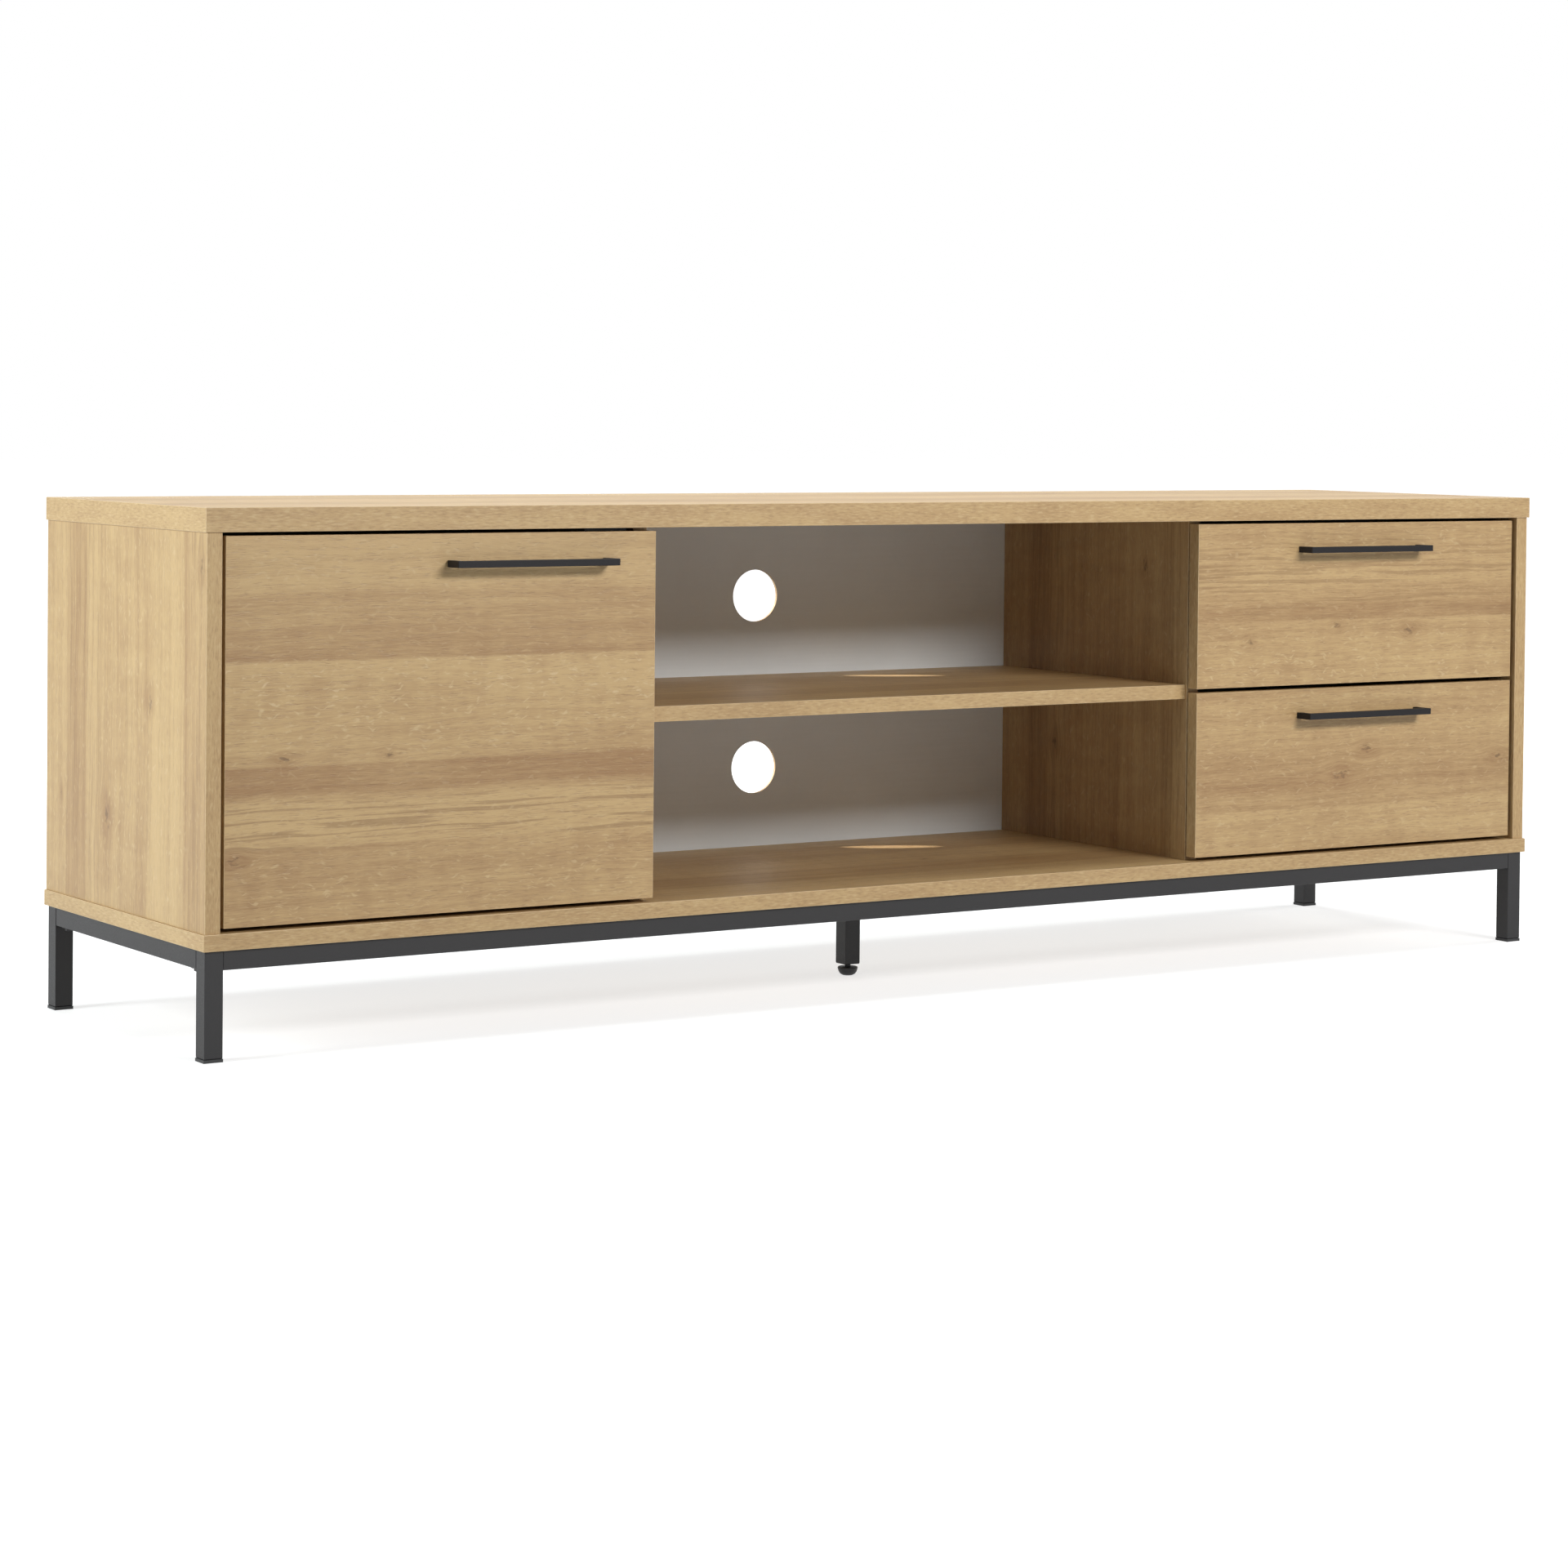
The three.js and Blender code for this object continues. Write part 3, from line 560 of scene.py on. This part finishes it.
LONG_STAVES = [
    (0.00, 0.30, 0.20, 0.25), (0.20, 0.36, 0.20, 0.25), (0.21, 0.62, 0.40, 0.05), (0.38, 0.56, 0.40, 0.10),
    (0.40, 0.26, 0.30, 0.30), (0.62, 0.34, 0.20, 0.40), (0.63, 0.50, 0.40, 0.10), (0.82, 0.44, 0.60, 0.10),
    (0.84, 0.22, 0.30, 0.30), (1.00, 0.30, 0.20, 0.30),
]

# board: grain axis, axis the staves lie across, pattern seed, staves, knots as (along, across, half height)
BOARDS = {
    "top_panel": (X, Y, 1.0, LONG_STAVES, [(0.22, 0.30, 4 * MM), (0.71, 0.74, 5 * MM)]),
    "bottom_panel": (X, Y, 2.0, LONG_STAVES, [(0.56, 0.44, 4 * MM)]),
    "centre_shelf": (X, Y, 3.0, LONG_STAVES, [(0.30, 0.58, 3 * MM)]),
    "side_panel_left": (
        Z, Y, 4.0, SIDE_STAVES,
        [(0.55, 0.33, 4 * MM), (0.24, 0.60, 6 * MM), (0.915, 0.03, 4 * MM), (0.27, 0.90, 2 * MM)],
    ),
    "side_panel_right": (Z, Y, 5.0, SIDE_STAVES, [(0.36, 0.28, 4 * MM), (0.78, 0.66, 5 * MM)]),
    "partition_left": (Z, Y, 6.0, SIDE_STAVES, [(0.62, 0.48, 4 * MM)]),
    "partition_right": (Z, Y, 7.0, SIDE_STAVES, [(0.86, 0.22, 4 * MM), (0.30, 0.70, 4 * MM)]),
    "door_panel": (
        X, Z, 8.0, DOOR_STAVES,
        [(0.13, 0.425, 3 * MM), (0.37, 0.425, 3 * MM), (0.02, 0.17, 4 * MM)],
    ),
    "upper_drawer_front": (
        X, Z, 9.0, UPPER_DRAWER_STAVES,
        [(0.16, 0.27, 3 * MM), (0.43, 0.36, 3 * MM), (0.66, 0.32, 4 * MM)],
    ),
    "lower_drawer_front": (
        X, Z, 10.0, LOWER_DRAWER_STAVES,
        [(0.53, 0.61, 4 * MM), (0.45, 0.46, 5 * MM), (0.96, 0.52, 4 * MM)],
    ),
}


# Cable holes in the back panel: x, z and a little more than their radius
CABLE_HOLES = [(0.0, 0.200, 28.3 * MM), (0.0, 0.385, 28.3 * MM)]


def dress_boards():
    for node, (along, across, seed, staves, knots) in BOARDS.items():
        dress(node, oak(node, along, across, seed, staves, knots), bevel=0.4 * MM, edge=PAINTED_EDGE_HIGHLIGHT)
    dress("back_panel", painted_board("white_back_board", (0.79, 0.82, 0.83, 1.0), 0.6, CABLE_HOLES))
    liner = painted_board("drawer_liner", (0.62, 0.57, 0.49, 1.0), 0.55)
    for drawer in ("upper", "lower"):
        for part in ("side_left", "side_right", "back"):
            dress(f"{drawer}_drawer_{part}", liner, bevel=0.4 * MM)
        dress(f"{drawer}_drawer_bottom", liner)


def dress_metal():
    frame_coat = powder_coat("charcoal_frame_coat", (0.014, 0.013, 0.014, 1.0), 0.46, gloss=0.40)
    handle_coat = powder_coat("black_handle_coat", (0.007, 0.006, 0.007, 1.0), 0.48, gloss=0.22)
    nickel = plated_metal("nickel_plate", (0.72, 0.71, 0.69, 1.0), 0.22, Z)
    zinc = plated_metal("zinc_plate", (0.62, 0.63, 0.65, 1.0), 0.32, Y)
    plastic = moulded_plastic("black_plastic", (0.014, 0.014, 0.015, 1.0), 0.5)
    for node in NODES:
        if node.startswith(("rail_", "leg_", "crossbar")) and not node.startswith("leg_cap"):
            dress(node, frame_coat, bevel=1.0 * MM, segments=3)
        elif node.endswith("_handle"):
            dress(node, handle_coat, bevel=0.5 * MM)
        elif node.startswith("hinge_"):
            dress(node, nickel, bevel=0.3 * MM, angle=50.0)
        elif "_slide_" in node or "_ball_cage_" in node or node == "strike_plate":
            dress(node, zinc)
        elif node.startswith("leg_cap") or node in ("threaded_plug", "magnetic_catch"):
            dress(node, plastic, bevel=0.4 * MM)
    dress("levelling_foot", plastic)
    return {"nickel": nickel, "zinc": zinc, "frame_coat": frame_coat, "plastic": plastic}


# ---------------------------------------------------------------- fasteners and small fittings

HANDLE_LEG = 3.25 * MM
SLIDE_SHEET = 1.25 * MM
SLIDE_SCREWS_Y = (-0.128, -0.010, 0.118)
PLATE_WING_X, PLATE_WING_Y = -780.5 * MM, -107.0 * MM
ARM_FACE_X, ARM_SCREWS_Y = -774.75 * MM, (-0.104, -0.089)
CAM_CAPS_Y = (-0.100, 0.120)
FLANGE_SCREW, WING_SCREW = 26.0 * MM, 18.5 * MM
RAIL_BOLTS_Y, CROSSBAR_BOLTS_Y = (-0.141, 0.158), (-0.110, 0.120)
BOARD_SCREWS_Y = (-0.110, 0.0, 0.125)
NAILS_UP, SHELF_NAILS_X = 6, (-0.22, -0.075, 0.075, 0.22)


def finish_piece(name, shape, material, body, smooth=True):
    """Makes a modelled shape an object that rides on a body."""
    mesh = bpy.data.meshes.new(name)
    bmesh.ops.recalc_face_normals(shape, faces=shape.faces)
    shape.to_mesh(mesh)
    shape.free()
    mesh.materials.append(material)
    piece = bpy.data.objects.new(name, mesh)
    bpy.context.scene.collection.objects.link(piece)
    if smooth:
        for face in mesh.polygons:
            face.use_smooth = True
        mesh.set_sharp_from_angle(angle=math.radians(35.0))
    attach(piece, body)
    return piece


def facing(place, aim):
    """Turns +Z to the aim and moves to the place."""
    return Matrix.Translation(place) @ Vector(aim).to_track_quat("Z", "Y").to_matrix().to_4x4()


def stamp(shape, pattern, place, aim):
    """Sets one copy of a small pattern on a surface."""
    count = len(shape.verts)
    shape.from_mesh(pattern)
    shape.verts.ensure_lookup_table()
    bmesh.ops.transform(shape, matrix=facing(place, aim), verts=shape.verts[count:])


def round_rim(shape, offset, segments):
    """Rounds the edges of the topmost face and returns that face."""
    top = max(shape.faces, key=lambda face: face.calc_center_median().z)
    bmesh.ops.bevel(
        shape, geom=list(top.edges), offset=offset, segments=segments, affect="EDGES",
        profile=0.5, material=-1,
    )
    return max(shape.faces, key=lambda face: face.calc_center_median().z)


def keep_pattern(name, shape):
    pattern = bpy.data.meshes.new(name)
    shape.to_mesh(pattern)
    shape.free()
    return pattern


def screw_head(radius, height, sides=24):
    """Pan head with a cross recess, standing on the origin."""
    shape = bmesh.new()
    stand = Matrix.Translation((0.0, 0.0, height / 2))
    bmesh.ops.create_cone(
        shape, cap_ends=True, segments=sides, radius1=radius, radius2=0.88 * radius,
        depth=height, matrix=stand,
    )
    top = round_rim(shape, 0.35 * height, 3)
    bmesh.ops.inset_region(shape, faces=[top], thickness=0.30 * radius)
    for corner in top.verts:
        angle = math.atan2(corner.co.y, corner.co.x)
        if abs(math.sin(2 * angle)) > 0.55:
            corner.co.x *= 0.36
            corner.co.y *= 0.36
        corner.co.z -= 0.55 * height
    return keep_pattern("screw_head", shape)


def button(radius, height, sides=24, dome=0.35):
    """Low disc with a rounded rim."""
    shape = bmesh.new()
    stand = Matrix.Translation((0.0, 0.0, height / 2))
    bmesh.ops.create_cone(
        shape, cap_ends=True, segments=sides, radius1=radius, radius2=radius, depth=height, matrix=stand
    )
    round_rim(shape, dome * height, 2)
    return keep_pattern("button", shape)


def hexagon_bolt(radius, height):
    """Hexagon head on a round washer."""
    shape = bmesh.new()
    washer = 0.28 * height
    stand = Matrix.Translation((0.0, 0.0, washer + height / 2))
    bmesh.ops.create_cone(
        shape, cap_ends=True, segments=6, radius1=radius, radius2=radius, depth=height, matrix=stand
    )
    round_rim(shape, 0.14 * height, 2)
    stamp(shape, button(1.55 * radius, washer, sides=32), (0.0, 0.0, 0.0), (0, 0, 1))
    return keep_pattern("hexagon_bolt", shape)


def add_weld(shape, start, end, radius):
    """Fillet bead with the ripples that the torch leaves."""
    run = Vector(end) - Vector(start)
    count = max(4, int(run.length / (1.1 * MM)))
    for i in range(count):
        middle = Vector(start) + run * (i + 0.5) / count
        made = bmesh.ops.create_icosphere(shape, subdivisions=1, radius=radius)
        bmesh.ops.scale(shape, vec=(1.0, 1.0, 0.62), verts=made["verts"])
        bmesh.ops.transform(shape, matrix=facing(middle, run.normalized()), verts=made["verts"])


def centre(node):
    low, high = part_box(node)
    return [(a + b) / 2 for a, b in zip(low, high)]


def add_hinge_screws(nickel):
    cups, plates = bmesh.new(), bmesh.new()
    wood_screw = screw_head(3.6 * MM, 1.6 * MM)
    setting_screw = screw_head(3.2 * MM, 1.3 * MM)
    for level in ("lower", "upper"):
        cup = f"hinge_cup_{level}"
        x, _, z = centre(cup)
        for side in (-1, 1):
            stamp(cups, wood_screw, (x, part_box(cup)[1][Y], z + side * FLANGE_SCREW), (0, 1, 0))
            stamp(plates, wood_screw, (PLATE_WING_X, PLATE_WING_Y, z + side * WING_SCREW), (1, 0, 0))
        for y in ARM_SCREWS_Y:
            stamp(plates, setting_screw, (ARM_FACE_X, y, z), (1, 0, 0))
    finish_piece("hinge_cup_screws", cups, nickel, "door")
    finish_piece("hinge_plate_screws", plates, nickel, "carcass")


def add_handle_screws(zinc):
    machine_screw = screw_head(4.2 * MM, 2.2 * MM)
    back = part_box("door_panel")[1][Y]
    for body, handle in (
        ("door", "door_handle"),
        ("upper_drawer", "upper_drawer_handle"),
        ("lower_drawer", "lower_drawer_handle"),
    ):
        shape = bmesh.new()
        low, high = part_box(handle)
        for x in (low[X] + HANDLE_LEG, high[X] - HANDLE_LEG):
            stamp(shape, machine_screw, (x, back, centre(handle)[Z]), (0, 1, 0))
        finish_piece(f"{handle}_screws", shape, zinc, body)


def add_drawer_screws(zinc):
    """Flat screws in the slides, and through the drawer sides into the back."""
    slide_screw = screw_head(2.8 * MM, 0.5 * MM)
    corner_screw = screw_head(3.4 * MM, 0.5 * MM)
    for drawer in ("upper", "lower"):
        outer, inner, corners = bmesh.new(), bmesh.new(), bmesh.new()
        back_y = centre(f"{drawer}_drawer_back")[Y]
        for side, sign, wall, web in (("left", 1, 0, 1), ("right", -1, 1, 0)):
            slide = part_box(f"{drawer}_slide_outer_{side}")
            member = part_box(f"{drawer}_slide_inner_{side}")
            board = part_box(f"{drawer}_drawer_side_{side}")
            z = centre(f"{drawer}_slide_outer_{side}")[Z]
            for y in SLIDE_SCREWS_Y:
                stamp(outer, slide_screw, (slide[wall][X] + sign * SLIDE_SHEET, y, z), (sign, 0, 0))
                stamp(inner, slide_screw, (member[web][X] - sign * SLIDE_SHEET, y, z), (-sign, 0, 0))
            for z in (board[0][Z] + 20 * MM, board[1][Z] - 20 * MM):
                stamp(corners, corner_screw, (board[wall][X], back_y, z), (-sign, 0, 0))
        finish_piece(f"{drawer}_slide_outer_screws", outer, zinc, "carcass")
        finish_piece(f"{drawer}_slide_inner_screws", inner, zinc, f"{drawer}_drawer")
        finish_piece(f"{drawer}_drawer_back_screws", corners, zinc, f"{drawer}_drawer")


def add_frame_fixings(coat):
    """Bolts that hold the board on the frame, and the welds of the frame."""
    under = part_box("rail_front")[0][Z]
    bolt = hexagon_bolt(4.6 * MM, 3.0 * MM)
    bolts = bmesh.new()
    for rail in ("rail_left", "rail_right"):
        for y in RAIL_BOLTS_Y:
            stamp(bolts, bolt, (centre(rail)[X], y, under), (0, 0, -1))
    for y in CROSSBAR_BOLTS_Y:
        stamp(bolts, bolt, (centre("crossbar_centre")[X], y, under), (0, 0, -1))
    finish_piece("frame_bolts", bolts, coat, "carcass")

    welds = bmesh.new()
    bead, clear = 1.7 * MM, 1.5 * MM
    for rail, inner in (("rail_front", 1), ("rail_back", 0)):
        low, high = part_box(rail)
        y = (low[Y], high[Y])[inner]
        for x in (low[X], high[X]):
            add_weld(welds, (x, y, under + clear), (x, y, high[Z] - clear), bead)
            add_weld(welds, (x, low[Y] + 3 * clear, under), (x, high[Y] - 3 * clear, under), bead)
    low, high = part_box("crossbar_centre")
    for x in (low[X], high[X]):
        for y in (low[Y], high[Y]):
            add_weld(welds, (x, y, under + clear), (x, y, high[Z] - clear), bead)
    low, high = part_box("leg_centre")
    for y in (low[Y], high[Y]):
        add_weld(welds, (low[X] + clear, y, under), (high[X] - clear, y, under), bead)
    finish_piece("frame_welds", welds, coat, "carcass")


def add_carcass_fixings(zinc, cap_plastic):
    """Cover caps over the cam locks, nails through the back panel and screws under the bottom board."""
    caps = bmesh.new()
    wide_cap = button(8.8 * MM, 0.9 * MM, sides=32, dome=0.6)
    small_cap = button(6.0 * MM, 0.8 * MM, sides=32, dome=0.6)
    heights = (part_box("bottom_panel")[1][Z] + 17 * MM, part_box("top_panel")[0][Z] - 34 * MM)
    shelf_z = centre("centre_shelf")[Z]
    for board, face, aim in (
        ("side_panel_left", 1, 1),
        ("side_panel_right", 0, -1),
        ("partition_left", 0, -1),
        ("partition_right", 1, 1),
    ):
        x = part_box(board)[face][X]
        for y in CAM_CAPS_Y:
            for z in heights:
                stamp(caps, wide_cap, (x, y, z), (aim, 0, 0))
            if board.startswith("partition"):
                stamp(caps, small_cap, (x, y, shelf_z), (aim, 0, 0))
    finish_piece("cam_cover_caps", caps, cap_plastic, "carcass")

    nails = bmesh.new()
    nail = button(2.3 * MM, 0.6 * MM, sides=12)
    low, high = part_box("back_panel")
    partitions = [centre(f"partition_{side}")[X] for side in ("left", "right")]
    for x in partitions:
        for i in range(1, NAILS_UP):
            stamp(nails, nail, (x, high[Y], low[Z] + (high[Z] - low[Z]) * i / NAILS_UP), (0, 1, 0))
    for x in SHELF_NAILS_X:
        stamp(nails, nail, (x, high[Y], shelf_z), (0, 1, 0))
    finish_piece("back_panel_nails", nails, zinc, "carcass")

    screws = bmesh.new()
    board_screw = screw_head(4.0 * MM, 0.6 * MM)
    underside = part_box("bottom_panel")[0][Z]
    for x in partitions:
        for y in BOARD_SCREWS_Y:
            stamp(screws, board_screw, (x, y, underside), (0, 0, -1))
    finish_piece("bottom_board_screws", screws, zinc, "carcass")


def add_bumpers(rubber):
    """Soft buttons that the door closes on."""
    shape = bmesh.new()
    bumper = button(4.5 * MM, 1.4 * MM, dome=0.5)
    low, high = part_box("door_panel")
    for z in (low[Z] + 25 * MM, high[Z] - 40 * MM):
        stamp(shape, bumper, (high[X] - 7.5 * MM, high[Y], z), (0, 1, 0))
    finish_piece("door_bumpers", shape, rubber, "door")


add_camera()
add_studio()
add_floor()
dress_boards()
finishes = dress_metal()
add_hinge_screws(finishes["nickel"])
add_handle_screws(finishes["zinc"])
add_drawer_screws(finishes["zinc"])
add_frame_fixings(finishes["frame_coat"])
add_carcass_fixings(finishes["zinc"], moulded_plastic("oak_colour_caps", (0.43, 0.29, 0.135, 1.0), 0.5))
add_bumpers(finishes["plastic"])
